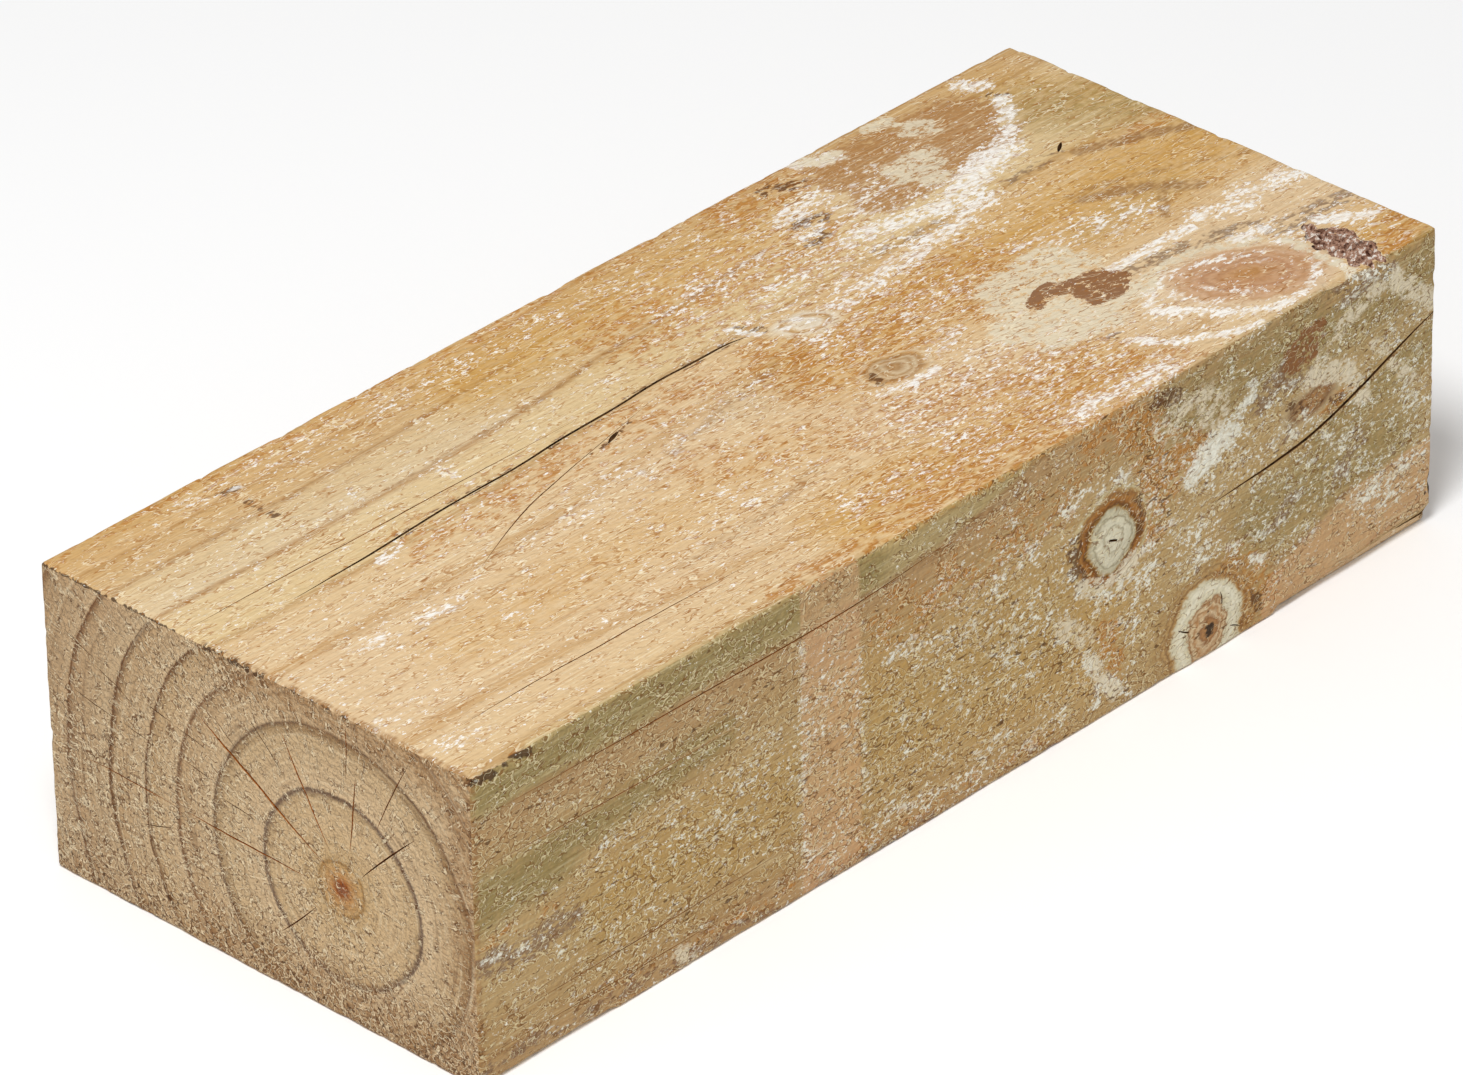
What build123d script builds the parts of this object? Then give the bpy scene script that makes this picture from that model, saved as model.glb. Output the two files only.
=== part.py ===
from build123d import *

import os

# Short length of sawn softwood sleeper, lying on its wide face, in millimetres.
# One solid: a rectangular section with rubbed arrises, opened by the seasoning checks,
# the torn knot and the broken corners that a rough-sawn sleeper carries.
# Frame: +X along the grain towards the far end, +Y towards the left side, +Z up,
# with the origin at the middle of the underside.

# Sawn section and cut length
LENGTH = 480.0
WIDTH = 200.0
HEIGHT = 120.0
ARRIS_RADIUS = 1.5

# Long seasoning check in the top face, drifting towards the left side as it runs with the grain
TOP_CHECK_FROM_NEAR_END = 58.0
TOP_CHECK_FROM_LEFT_SIDE = 78.5
TOP_CHECK_LENGTH = 204.0
TOP_CHECK_DRIFT = 6.5
TOP_CHECK_BOW = 1.6
TOP_CHECK_MOUTH = 1.3
TOP_CHECK_DEPTH = 14.0

# Split in the right side, open at the far end and falling towards its tip
SIDE_SPLIT_BELOW_TOP = 33.5
SIDE_SPLIT_LENGTH = 115.0
SIDE_SPLIT_FALL = 26.5
SIDE_SPLIT_BOW = 6.5
SIDE_SPLIT_MOUTH = 1.4
SIDE_SPLIT_DEPTH = 22.0

# Torn knot, a shallow scoop that breaks the top right arris near the far end
TORN_KNOT_FROM_FAR_END = 34.0
TORN_KNOT_FROM_RIGHT_SIDE = 16.5
TORN_KNOT_LONG = 38.0
TORN_KNOT_WIDE = 18.0
TORN_KNOT_DEPTH = 4.5
TORN_KNOT_SLOPE = 4.0

# Corners broken off by handling: the leg along the grain, across it and up or down
NEAR_CORNER_LEGS = (32.0, 4.0, 5.0)
FAR_CORNER_LEGS = (85.0, 7.0, 4.0)

# Nick in the far end of the right side, where a saw ran on
END_NICK_BELOW_TOP = 101.0
END_NICK_HEIGHT = 5.0
END_NICK_LENGTH = 3.0
END_NICK_DEPTH = 12.0

# Faces of the section
NEAR_END = -LENGTH / 2
FAR_END = LENGTH / 2
LEFT_SIDE = WIDTH / 2
RIGHT_SIDE = -WIDTH / 2

# A cut starts this far outside the face that it opens
CLEAR = 2.0 * ARRIS_RADIUS


def sawn_block():
    """The rectangular section at its cut length, with every arris rubbed round."""
    block = Box(LENGTH, WIDTH, HEIGHT, align=(Align.CENTER, Align.CENTER, Align.MIN))
    return fillet(block.edges(), ARRIS_RADIUS)


def top_check():
    """A slim slot with two pointed tips, cut down from the top face."""
    start = (NEAR_END + TOP_CHECK_FROM_NEAR_END, LEFT_SIDE - TOP_CHECK_FROM_LEFT_SIDE)
    tip = (start[0] + TOP_CHECK_LENGTH, start[1] + TOP_CHECK_DRIFT)
    middle = ((start[0] + tip[0]) / 2, (start[1] + tip[1]) / 2 + TOP_CHECK_BOW)
    upper = ThreePointArc(start, (middle[0], middle[1] + TOP_CHECK_MOUTH / 2), tip)
    lower = ThreePointArc(tip, (middle[0], middle[1] - TOP_CHECK_MOUTH / 2), start)
    outline = make_face([upper, lower])
    slot = extrude(outline, amount=TOP_CHECK_DEPTH + CLEAR)
    return Pos(0, 0, HEIGHT - TOP_CHECK_DEPTH) * slot


def side_split():
    """A wedge that runs in from the far end, cut into the right side."""
    mouth = (FAR_END + CLEAR, HEIGHT - SIDE_SPLIT_BELOW_TOP)
    tip = (FAR_END - SIDE_SPLIT_LENGTH, mouth[1] - SIDE_SPLIT_FALL)
    middle = ((mouth[0] + tip[0]) / 2, (mouth[1] + tip[1]) / 2 - SIDE_SPLIT_BOW)
    half_mouth = SIDE_SPLIT_MOUTH / 2
    mouth_top = (mouth[0], mouth[1] + half_mouth)
    mouth_foot = (mouth[0], mouth[1] - half_mouth)
    upper = ThreePointArc(mouth_top, (middle[0], middle[1] + half_mouth / 2), tip)
    lower = ThreePointArc(tip, (middle[0], middle[1] - half_mouth / 2), mouth_foot)
    outline = make_face([upper, lower, Line(mouth_foot, mouth_top)])
    # The outline is drawn in X and Z, and Plane.XZ looks along -Y
    wedge = extrude(Plane.XZ * outline, amount=SIDE_SPLIT_DEPTH + CLEAR)
    return Pos(0, RIGHT_SIDE + SIDE_SPLIT_DEPTH, 0) * wedge


def torn_knot():
    """An oval scoop whose walls lean out towards its mouth."""
    wide = TORN_KNOT_WIDE / 2
    long = TORN_KNOT_LONG / 2
    lean = TORN_KNOT_SLOPE / TORN_KNOT_DEPTH
    rise = TORN_KNOT_DEPTH + CLEAR
    floor = Ellipse(wide - TORN_KNOT_SLOPE, long - TORN_KNOT_SLOPE)
    mouth = Ellipse(wide + lean * CLEAR, long + lean * CLEAR)
    scoop = loft([floor, Pos(0, 0, rise) * mouth])
    place = (FAR_END - TORN_KNOT_FROM_FAR_END, RIGHT_SIDE + TORN_KNOT_FROM_RIGHT_SIDE)
    return Pos(*place, HEIGHT - TORN_KNOT_DEPTH) * scoop


def end_nick():
    """A square-cornered nick in the right side, open at the far end."""
    nick = Box(
        END_NICK_LENGTH + CLEAR,
        END_NICK_DEPTH + CLEAR,
        END_NICK_HEIGHT,
        align=(Align.MIN, Align.MAX, Align.MAX),
    )
    place = (FAR_END - END_NICK_LENGTH, RIGHT_SIDE + END_NICK_DEPTH)
    return Pos(*place, HEIGHT - END_NICK_BELOW_TOP) * nick


def break_corner(block, corner, inward, legs):
    """The block without the corner that a plane through the ends of the three legs cuts off."""
    ends = []
    for axis in range(3):
        end = list(corner)
        end[axis] += inward[axis] * legs[axis]
        ends.append(Vector(*end))
    normal = (ends[1] - ends[0]).cross(ends[2] - ends[0])
    if normal.dot(Vector(*corner) - ends[0]) < 0:
        normal = -normal
    return split(block, Plane(origin=ends[0], z_dir=normal), keep=Keep.BOTTOM)


def sleeper():
    """The finished length of timber."""
    block = sawn_block()
    block = break_corner(block, (NEAR_END, RIGHT_SIDE, HEIGHT), (1, 1, -1), NEAR_CORNER_LEGS)
    block = break_corner(block, (FAR_END, RIGHT_SIDE, 0), (-1, 1, 1), FAR_CORNER_LEGS)
    return block - top_check() - side_split() - torn_knot() - end_nick()


os.makedirs("parts", exist_ok=True)
export_step(sleeper(), "parts/sleeper.step")
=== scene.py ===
"""Short length of rough-sawn softwood sleeper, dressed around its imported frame."""

import math

import bpy
import numpy as np
from mathutils import Matrix, Vector


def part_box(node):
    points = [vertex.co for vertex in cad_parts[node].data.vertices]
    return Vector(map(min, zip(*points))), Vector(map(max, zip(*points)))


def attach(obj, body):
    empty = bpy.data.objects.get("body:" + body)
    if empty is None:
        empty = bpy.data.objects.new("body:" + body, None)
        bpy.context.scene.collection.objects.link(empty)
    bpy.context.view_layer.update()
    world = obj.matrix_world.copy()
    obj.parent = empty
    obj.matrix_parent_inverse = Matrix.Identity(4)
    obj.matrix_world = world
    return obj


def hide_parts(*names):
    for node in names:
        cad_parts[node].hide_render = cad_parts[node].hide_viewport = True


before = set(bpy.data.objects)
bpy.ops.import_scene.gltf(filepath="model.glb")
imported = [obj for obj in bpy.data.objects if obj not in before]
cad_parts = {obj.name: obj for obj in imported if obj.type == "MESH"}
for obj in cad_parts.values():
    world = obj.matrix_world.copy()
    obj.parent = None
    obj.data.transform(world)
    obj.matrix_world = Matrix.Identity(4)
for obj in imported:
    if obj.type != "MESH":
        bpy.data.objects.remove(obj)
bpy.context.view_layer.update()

bl_info = {
    "name": "Sawn Softwood Sleeper",
    "version": (1, 0, 0),
    "blender": (4, 5, 0),
    "location": "View3D > Sidebar > Sleeper",
    "description": "Saws, seasons and weathers a short softwood sleeper",
    "category": "Mesh",
}

# The frame, in metres: +X along the grain, +Y to the left side, +Z up
LOW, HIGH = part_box("sleeper")
LENGTH, WIDTH, HEIGHT = HIGH - LOW
MM = 0.001

# The three photographed faces: a corner, then the ways along, down and out of the face.
# Places on a face are in millimetres along and down from that corner.
FACES = {
    "top": (Vector((LOW.x, HIGH.y, HIGH.z)), (1, 0, 0), (0, -1, 0), (0, 0, 1)),
    "side": (Vector((LOW.x, LOW.y, HIGH.z)), (1, 0, 0), (0, 0, -1), (0, -1, 0)),
    "end": (Vector((LOW.x, HIGH.y, HIGH.z)), (0, -1, 0), (0, 0, -1), (-1, 0, 0)),
}

# The pith runs along the grain at this place on the near end, and the farthest ring is this far from it
PITH = (138.5, 69.0)
FARTHEST_RING = 170.0

# Relief in mm: how high the saw's waves are and how far they are sunk, how deep an arris is chipped, and
# how far from the arris that reaches
SAW_WAVE = 0.3
SAW_SINK = 0.1
CHIP_DEPTH = 1.3
CHIP_REACH = 4

# Torn knot in mm: its half sizes, its middle from the far end and from the right side, and how far apart
# and how high its torn fibres are
TORN_HALVES = (10, 18, 5)
TORN_FROM_END = 32
TORN_FROM_SIDE = 16
TORN_SPACING = 4
TORN_HEIGHT = 11

# Noise strays about this far to either side of its middle
NOISE_MIDDLE = 0.5
NOISE_STRAY = 0.25

# Painted marks, as soft brush strokes: strength, brush radius in mm, then the path on the face in mm.
# Relief is in mm, and the other strengths are shares of full cover. A stroke fades by a power of its reach,
# and wraps round an arris for a little more than the arris's radius.
STROKE_FADE = 1.5
STROKE_WRAP = 1.2
TOP_STROKES = {
    "mould": (
        (0.30, 150, (40, 100), (200, 100)),
        (0.68, 64, (280, 50), (372, 56)),
        (0.70, 56, (270, 160), (340, 160)),
        (0.60, 40, (380, 172), (470, 172)),
        (0.62, 12, (58, 11), (150, 13)),
        (0.50, 16, (150, 14), (320, 14)),
        (0.55, 10, (74, 83), (150, 79)),
        (0.55, 20, (140, 110), (240, 100)),
        (1.00, 6, (36, 116), (44, 117)),
        (1.05, 5, (58, 121), (76, 120)),
        (0.55, 9, (30, 118), (80, 121)),
        (0.80, 9, (8, 178), (24, 184)),
        (0.60, 12, (0, 156), (24, 158)),
        (0.75, 6, (80, 140), (88, 144)),
        (0.85, 6, (182, 134), (186, 150)),
        (0.45, 14, (150, 150), (220, 140)),
        (1.15, 5, (76, 84), (86, 82)),
        (0.80, 4, (131, 48), (131, 70)),
        (0.65, 6, (152, 122), (154, 156)),
        (1.60, 12, (398, 56), (408, 52), (420, 50)),
        (1.40, 11, (372, 62), (386, 60), (398, 57)),
        (1.20, 11, (335, 54), (350, 55), (360, 58), (372, 62)),
        (1.35, 8, (422, 50), (432, 42), (440, 34), (447, 26)),
        (1.35, 8, (446, 7), (450, 13)),
        (1.10, 12, (330, 26), (342, 27), (352, 24)),
        (1.15, 8, (328, 42), (336, 38)),
        (1.15, 11, (392, 68), (372, 74), (352, 76), (334, 78), (318, 82)),
        (0.90, 14, (318, 80), (296, 82), (280, 92)),
        (1.20, 8, (364, 3), (376, 9)),
        (1.50, 5, (276, 80), (284, 77), (286, 83)),
        (1.20, 5, (264, 66), (268, 74)),
        (0.75, 22, (376, 106), (416, 112)),
        (0.65, 30, (280, 100), (340, 98)),
        (1.45, 5, (382, 135), (402, 136), (422, 136)),
        (1.20, 9, (430, 132), (448, 140)),
        (1.10, 10, (452, 134), (476, 138)),
        (1.30, 7, (425, 154), (440, 156)),
        (1.50, 6, (455, 166), (460, 170), (472, 176)),
        (0.95, 16, (300, 190), (346, 192)),
        (0.65, 16, (206, 176), (272, 186)),
        (1.20, 5, (266, 133), (278, 136), (292, 135)),
        (0.85, 10, (296, 128), (316, 122)),
        (1.40, 4.5, (350, 172), (356, 182), (364, 188), (375, 193), (388, 198)),
        (1.40, 5.0, (369, 165), (377, 173), (383, 181), (393, 190), (399, 194), (414, 195)),
        (1.30, 5.0, (414, 195), (428, 190), (433, 183)),
        (1.40, 5.0, (369, 165), (375, 158), (388, 154), (398, 155), (414, 161), (425, 166)),
        (1.50, 4.5, (382, 163), (385, 173), (391, 179)),
        (1.45, 3.5, (391, 166), (396, 176), (405, 184)),
        (1.35, 3.0, (400, 160), (414, 166), (426, 175)),
        (1.35, 5.0, (434, 167), (438, 180), (436, 199)),
    ),
    "skin": (
        (1.0, 24, (372, 20), (428, 24)),
        (1.0, 16, (366, 42), (426, 40)),
    ),
    "cream": (
        (1.0, 14, (344, 116), (374, 114)),
        (1.0, 13, (338, 126), (378, 124)),
        (1.0, 15, (328, 138), (352, 142)),
        (1.0, 13, (332, 152), (356, 156)),
        (1.0, 9, (356, 150), (384, 151)),
        (1.0, 7, (383, 31), (402, 31)),
        (1.0, 7, (381, 38), (398, 39)),
        (1.0, 6, (386, 46), (393, 47)),
        (1.0, 5, (399, 5), (408, 5), (410, 12), (417, 17)),
        (1.0, 5, (406, 17), (415, 22)),
        (0.9, 8, (366, 4), (378, 9)),
        (0.8, 5, (388, 148), (410, 148), (430, 160)),
        (0.9, 5, (437, 168), (437, 198)),
    ),
    "bark": (
        (1.3, 5, (346, 132), (353, 129), (358, 128)),
        (1.3, 5, (358, 131), (368, 133), (377, 134)),
        (1.3, 6, (363, 139), (380, 141)),
        (1.3, 5, (362, 145), (374, 146)),
    ),
    "resin": (
        (0.75, 3, (88, 77.6), (118, 75.4), (150, 75.2), (172, 73.2), (200, 72.8), (222, 70.8), (262, 72)),
        (0.9, 4, (70, 13), (76, 14)),
        (0.8, 3.5, (73, 24), (73, 38)),
        (0.7, 3, (170, 87), (184, 86), (196, 82)),
        (0.9, 6, (326, 46), (334, 43)),
        (0.8, 7, (332, 33), (342, 36)),
        (0.9, 4, (266, 67), (272, 73)),
        (0.9, 3.5, (347, 166), (350, 168)),
        (0.7, 8, (340, 8), (354, 12)),
        (0.9, 3, (446, 20), (452, 23)),
        (0.9, 4, (272, 122), (271, 128)),
    ),
    "smudge": (
        (0.9, 6, (386, 141), (404, 143), (424, 147), (440, 152)),
        (1.0, 7, (452, 160), (479, 162)),
        (0.8, 9, (440, 158), (456, 166)),
        (0.7, 5, (404, 67), (420, 67), (434, 65)),
        (0.6, 8, (338, 67), (366, 69)),
    ),
    "stain": (
        (0.75, 30, (320, 10), (352, 12)),
        (0.80, 34, (220, 186), (342, 186)),
        (0.80, 36, (270, 150), (322, 166)),
        (0.75, 50, (262, 100), (350, 104)),
        (0.80, 16, (464, 194), (478, 184)),
        (0.60, 12, (0, 2), (300, 2)),
        (0.70, 14, (150, 196), (330, 196)),
        (0.70, 46, (240, 40), (330, 50)),
        (0.65, 26, (90, 85), (230, 82)),
        (0.55, 40, (190, 120), (250, 150)),
        (0.80, 8, (455, 78), (480, 76)),
        (0.80, 10, (400, 174), (408, 176)),
    ),
    "gold": (
        (0.95, 46, (400, 100), (472, 96)),
        (0.75, 36, (452, 30), (478, 50)),
        (0.90, 44, (270, 104), (380, 98)),
        (0.85, 34, (200, 182), (330, 176)),
        (0.80, 36, (180, 26), (330, 30)),
        (0.85, 30, (450, 186), (478, 186)),
        (0.50, 34, (60, 140), (220, 136)),
    ),
    "olive": (
        (0.60, 34, (452, 40), (478, 60)),
        (0.30, 20, (228, 104), (256, 98)),
        (0.20, 20, (20, 44), (220, 40)),
        (0.35, 14, (396, 112), (440, 110)),
    ),
    "streak": (
        (1.10, 5, (437, 71), (456, 78), (478, 88)),
        (1.00, 6, (412, 95), (432, 104), (447, 118)),
        (0.80, 4, (425, 100), (438, 110), (422, 124)),
        (0.55, 5, (140, 160), (186, 158), (216, 150)),
        (0.60, 5, (186, 108), (222, 101), (256, 94)),
        (0.60, 4, (410, 90), (440, 98), (478, 116)),
        (0.65, 3, (110, 53), (180, 50), (250, 42), (310, 37)),
        (0.50, 3, (0, 33), (60, 33), (110, 31), (200, 25)),
        (0.50, 3, (0, 54), (110, 53)),
        (0.50, 3, (0, 110), (100, 110), (180, 108)),
        (0.45, 4, (40, 123), (110, 123)),
    ),
    "torn": (
        (0.14, 20, (60, 8), (320, 10)),
        (0.18, 14, (60, 110), (200, 108)),
        (0.24, 60, (150, 170), (330, 160)),
        (0.22, 44, (250, 100), (340, 100)),
        (0.34, 14, (320, 40), (350, 12)),
        (0.60, 6, (72, 8), (74, 66)),
    ),
    # Painted shade under torn fibres at the arris
    "crevice": (
        (1.0, 3, (2, 200), (10, 199)),
    ),
    "relief": (
        (0.9, 30, (398, 168), (422, 176)),
        (0.25, 20, (345, 120), (374, 125)),
        (-0.8, 6, (268, 68), (272, 74)),
        (0.6, 8, (276, 78), (284, 84)),
        (0.7, 9, (278, 124), (286, 127)),
        (-1.6, 6, (0, 200), (14, 201), (26, 203)),
        (-0.8, 5, (176, 202), (196, 201)),
        (-0.8, 5, (342, 202), (350, 201)),
        (-1.5, 9, (428, 200), (462, 200)),
    ),
}
SIDE_STROKES = {
    "mould": (
        (0.36, 90, (60, 90), (260, 80)),
        (0.62, 80, (240, 60), (470, 60)),
        (0.55, 30, (70, 62), (150, 64)),
        (0.80, 6, (155, 20), (155, 118)),
        (0.70, 6, (182, 30), (186, 100)),
        (0.60, 18, (168, 30), (168, 110)),
        (1.90, 7, (350, 45), (355, 41)),
        (2.00, 9, (358, 39), (366, 36), (371, 35)),
        (1.60, 6, (374, 32), (380, 27), (382, 22)),
        (1.20, 6, (290, 28), (296, 25)),
        (0.85, 12, (288, 30), (316, 30)),
        (1.05, 11, (294, 66), (312, 69), (326, 62)),
        (1.30, 6, (298, 94), (304, 103), (312, 112)),
        (1.10, 5, (304, 103), (300, 112)),
        (1.10, 5, (308, 108), (318, 116)),
        (1.10, 8, (322, 74), (330, 70)),
        (0.90, 14, (328, 44), (350, 64)),
        (0.80, 14, (352, 70), (372, 80)),
        (0.70, 16, (190, 110), (280, 108)),
        (1.30, 6, (398, 46), (408, 52)),
        (1.25, 6, (410, 46), (417, 52)),
        (1.25, 5, (383, 92), (389, 94)),
        (0.80, 10, (454, 102), (472, 100)),
        (0.80, 14, (440, 92), (474, 86)),
        (0.95, 6, (196, 46), (208, 46)),
        (0.95, 6, (428, 8), (440, 4), (456, 7)),
        (1.10, 6, (420, 58), (424, 60)),
        (0.85, 4, (4, 72), (16, 73), (26, 75)),
    ),
    "cream": (
        (0.85, 6, (412, 33), (419, 27), (426, 20), (436, 15), (447, 12), (456, 10)),
        (0.95, 7, (456, 10), (463, 16), (470, 23), (481, 31)),
        (0.95, 7, (412, 32), (424, 34), (432, 38), (437, 43), (441, 52)),
        (0.80, 5, (447, 33), (457, 45), (470, 58)),
        (0.60, 18, (340, 16), (364, 22)),
        (0.75, 7, (294, 62), (304, 66), (316, 66), (323, 61)),
        (0.80, 6, (298, 92), (304, 103), (312, 113)),
        (0.70, 8, (284, 74), (296, 84)),
        (0.90, 6, (94, 112), (99, 118)),
    ),
    "bark": (
        (0.70, 9, (402, 21), (409, 15), (416, 15)),
        (0.65, 8, (404, 23), (412, 21)),
    ),
    "resin": (
        (1.3, 6, (291, 44), (290, 52), (293, 60)),
        (0.9, 3.5, (323, 40), (325, 47), (323, 54)),
        (1.0, 5, (402, 40), (407, 41)),
        (0.9, 5, (384, 106), (387, 113)),
        (0.9, 6, (330, 6), (342, 8)),
        (0.9, 3.5, (418, 44), (430, 47)),
        (0.4, 3, (2, 17), (80, 17.5), (150, 18), (190, 17.5), (236, 13)),
        (0.55, 3, (0, 108), (70, 109), (124, 109)),
    ),
    "smudge": (
        (1.2, 8, (385, 31), (392, 27), (398, 24)),
        (0.9, 5, (400, 30), (412, 29)),
        (1.2, 7, (428, 6), (454, 5)),
        (1.2, 8, (0, 73), (22, 75), (44, 74)),
        (0.8, 8, (430, 78), (440, 68)),
        (0.7, 8, (394, 84), (404, 76)),
        (0.8, 5, (0, 113), (60, 114), (130, 117)),
        (0.6, 5, (128, 118), (280, 118)),
    ),
    "stain": (
        (1.20, 16, (326, 14), (336, 44)),
        (1.20, 9, (306, 84), (312, 104)),
        (1.10, 16, (336, 30), (350, 34)),
        (0.90, 20, (300, 50), (330, 52)),
        (1.05, 22, (372, 94), (386, 108)),
        (1.00, 12, (412, 42), (430, 45)),
        (0.60, 14, (60, 112), (280, 116)),
        (0.65, 26, (200, 30), (290, 24)),
        (0.85, 18, (300, 8), (326, 10)),
        (0.60, 6, (0, 66), (40, 65)),
    ),
    "gold": (
        (0.6, 60, (190, 70), (290, 76)),
        (0.6, 40, (70, 76), (140, 76)),
    ),
    "olive": (
        (1.00, 12, (0, 8), (190, 7)),
        (1.30, 16, (0, 50), (40, 48)),
        (1.00, 12, (40, 46), (116, 38)),
        (0.85, 28, (388, 76), (456, 74)),
        (0.80, 18, (420, 60), (476, 44)),
        (0.80, 28, (340, 16), (472, 14)),
        (0.40, 40, (60, 80), (280, 70)),
    ),
    "streak": (
        (0.80, 4, (0, 109), (150, 109)),
        (0.6, 4, (0, 98), (150, 97)),
        (0.9, 3, (392, 100), (415, 95), (436, 86)),
        (0.9, 3, (445, 115), (461, 109), (478, 105)),
        (0.9, 4, (180, 18), (225, 14), (266, 9)),
    ),
    "sticker": (
        (1.0, 15.5, (168.5, -6), (168.5, 126)),
        (1.0, 15, (402, 114), (440, 101), (480, 98)),
    ),
    "torn": (
        (0.35, 14, (326, 14), (336, 50)),
        (0.25, 20, (250, 60), (290, 90)),
        (0.20, 50, (80, 80), (300, 100)),
        (0.20, 16, (0, 26), (150, 26)),
    ),
    # Painted shade under torn fibres at the arrises and beside the far split
    "crevice": (
        (1.1, 5, (0, 1), (10, 2), (26, 1)),
        (0.8, 3, (0, 120), (30, 120)),
        (1.0, 4, (480, 102), (478, 106)),
    ),
    "relief": (
        (0.8, 14, (310, 50), (311, 50)),
        (0.9, 20, (359, 109), (360, 109)),
        (-0.7, 5, (297, 44), (297, 58)),
        (-3.4, 7, (400, 123), (440, 121), (480, 119)),
        (-1.0, 6, (0, 121), (60, 121)),
        (-1.4, 6, (0, 0), (22, -1)),
        (-0.8, 5, (174, -1), (200, -1)),
        (-1.2, 6, (424, 0), (448, 0)),
    ),
}
END_STROKES = {
    # Painted shade under torn fibres along the arrises
    "crevice": (
        (1.0, 0.9, (0, 0.7), (66, 0.7)),
        (1.0, 1.8, (78, 1), (106, 1)),
        (0.8, 0.9, (110, 0.7), (150, 0.7)),
        (0.7, 1.6, (0, 110), (0, 120), (60, 120)),
    ),
    # On the end these strokes darken the face towards its bottom, top and right edges.
    "streak": (
        (0.85, 36, (80, 122), (196, 118)),
        (0.80, 30, (90, -4), (200, -2)),
        (0.80, 34, (204, 10), (204, 110)),
        (0.50, 30, (0, 122), (90, 124)),
    ),
    "torn": (
        (0.60, 40, (10, 118), (190, 120)),
        (0.40, 50, (20, 70), (70, 70)),
        (0.45, 14, (120, 80), (150, 92)),
        (0.30, 20, (118, 60), (124, 78)),
        (0.40, 24, (60, 20), (90, 6)),
    ),
}
BRUSHWORK = {"top": TOP_STROKES, "side": SIDE_STROKES, "end": END_STROKES}
PAINTS = sorted({paint for paints in BRUSHWORK.values() for paint in paints})

# Seasoning checks, splits and holes: mouth and depth in mm, then the path on the face in mm.
# Resin fills those with a mouth over FILLED_MOUTH in the end, and under it in the other faces.
FILLED_MOUTH = 0.75
CHECKS = {
    "top": (
        (1.0, 4, (40, 79.5), (70, 78.4), (90, 77.4), (118, 75.4), (150, 75.2), (172, 73.2), (200, 72.8),
         (222, 70.8), (240, 71.6), (256, 71.2), (264, 73)),
        (0.5, 2, (0, 67), (36, 66.6), (90, 67.8), (130, 67.2), (186, 68.4)),
        (0.5, 2, (20, 175), (60, 173.6), (80, 174.6), (120, 174.4), (162, 176)),
        (0.5, 2, (96, 111), (120, 100), (150, 91), (217, 77)),
        (3.2, 5, (181, 87), (185, 85), (189, 84)),
        (2.6, 5, (432, 66), (435, 64), (438, 62)),
    ),
    "side": (
        (1.3, 8, (484, 32), (462, 39.5), (440, 47.5), (420, 54), (400, 57.5), (362, 59.5)),
        (0.5, 2.5, (2, 17), (80, 17.5), (150, 18), (190, 17.5), (236, 13)),
        (0.6, 3, (0, 36), (60, 38), (124, 38)),
        (0.5, 2.5, (0, 108), (70, 109), (124, 109)),
        (0.6, 3, (20, 98), (80, 98), (146, 97)),
        (4.0, 7, (479, 99), (479, 103), (479, 108)),
        (1.0, 2, (305, 49), (309, 50), (313, 52)),
        (0.8, 2, (344, 103), (347, 105), (350, 106)),
        (0.8, 2, (366, 97), (367, 100), (366, 103)),
        (0.8, 2, (371, 113), (374, 114), (377, 116)),
    ),
    "end": (
        (1.3, 4, (133, 55), (122, 37), (113, 19)),
        (1.1, 4, (143, 52), (145, 38), (147, 22)),
        (1.1, 4, (148, 60), (160, 47), (173, 35)),
        (1.2, 4, (121, 71), (96, 71), (66, 70)),
        (0.8, 3, (60, 70), (40, 69), (20, 69)),
        (1.1, 3, (132, 63), (109, 50), (88, 37), (74, 29)),
        (0.9, 3, (126, 81), (118, 90), (109, 98)),
        (0.8, 3, (156, 38), (162, 24), (172, 6)),
        (0.8, 3, (143, 2), (144, 12), (142, 24)),
        (0.7, 2, (48, 35), (54, 36), (60, 37)),
        (0.7, 2, (66, 50), (72, 51), (78, 52)),
        (0.7, 2, (84, 57), (92, 58), (99, 59)),
        (0.7, 2, (24, 30), (33, 33), (42, 38)),
        (0.7, 2, (14, 44), (24, 46), (34, 48)),
        (0.7, 2, (98, 20), (106, 28), (113, 35)),
        (0.6, 2, (37, 47.5), (43, 48.5), (49, 49.4)),
        (0.6, 2, (62, 38), (70, 39.5), (77, 41)),
        (0.6, 2, (10, 22), (18, 25), (27, 29)),
        (0.6, 2, (80, 26), (86, 31), (92, 35)),
        (0.6, 2, (44, 84), (52, 82), (60, 79)),
    ),
}

# Knots: middle and half sizes in mm along, across and down, a turn in degrees, and ringed colours.
# Each ring is its share of the half size, a colour and how far it covers the wood.
# The rings sway from their true ovals by up to about KNOT_SWAY, in mm.
KNOT_SWAY = 1.3
OVAL_KNOT = (
    (0.0, "C08C50", 0.9), (0.1, "B07A42", 0.9), (0.2, "C29468", 0.9), (0.28, "B48258", 0.9),
    (0.36, "C39872", 0.9), (0.44, "B2805A", 0.9), (0.52, "C69C78", 0.9), (0.6, "B8885E", 0.9),
    (0.68, "CCA684", 0.85), (0.75, "C0946A", 0.8), (0.82, "D4B694", 0.75), (0.92, "DCC4A4", 0.5),
    (1.0, "DCC4A4", 0.0),
)
PALE_KNOT = (
    (0.0, "D8D2B8", 1.0), (0.2, "DAD4BA", 1.0), (0.25, "B0A78C", 1.0), (0.29, "D8D2B8", 1.0),
    (0.41, "D2CBB0", 1.0), (0.46, "A0977C", 1.0), (0.5, "C6BFA2", 1.0), (0.55, "B8AF92", 0.95),
    (0.6, "9A7438", 0.9), (0.64, "62380C", 0.9), (0.69, "8A5218", 0.85), (0.75, "A46A24", 0.75),
    (0.81, "7C4814", 0.7), (0.86, "A87A38", 0.5), (0.92, "CCC49E", 0.6), (1.0, "C8BE98", 0.0),
)
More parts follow.
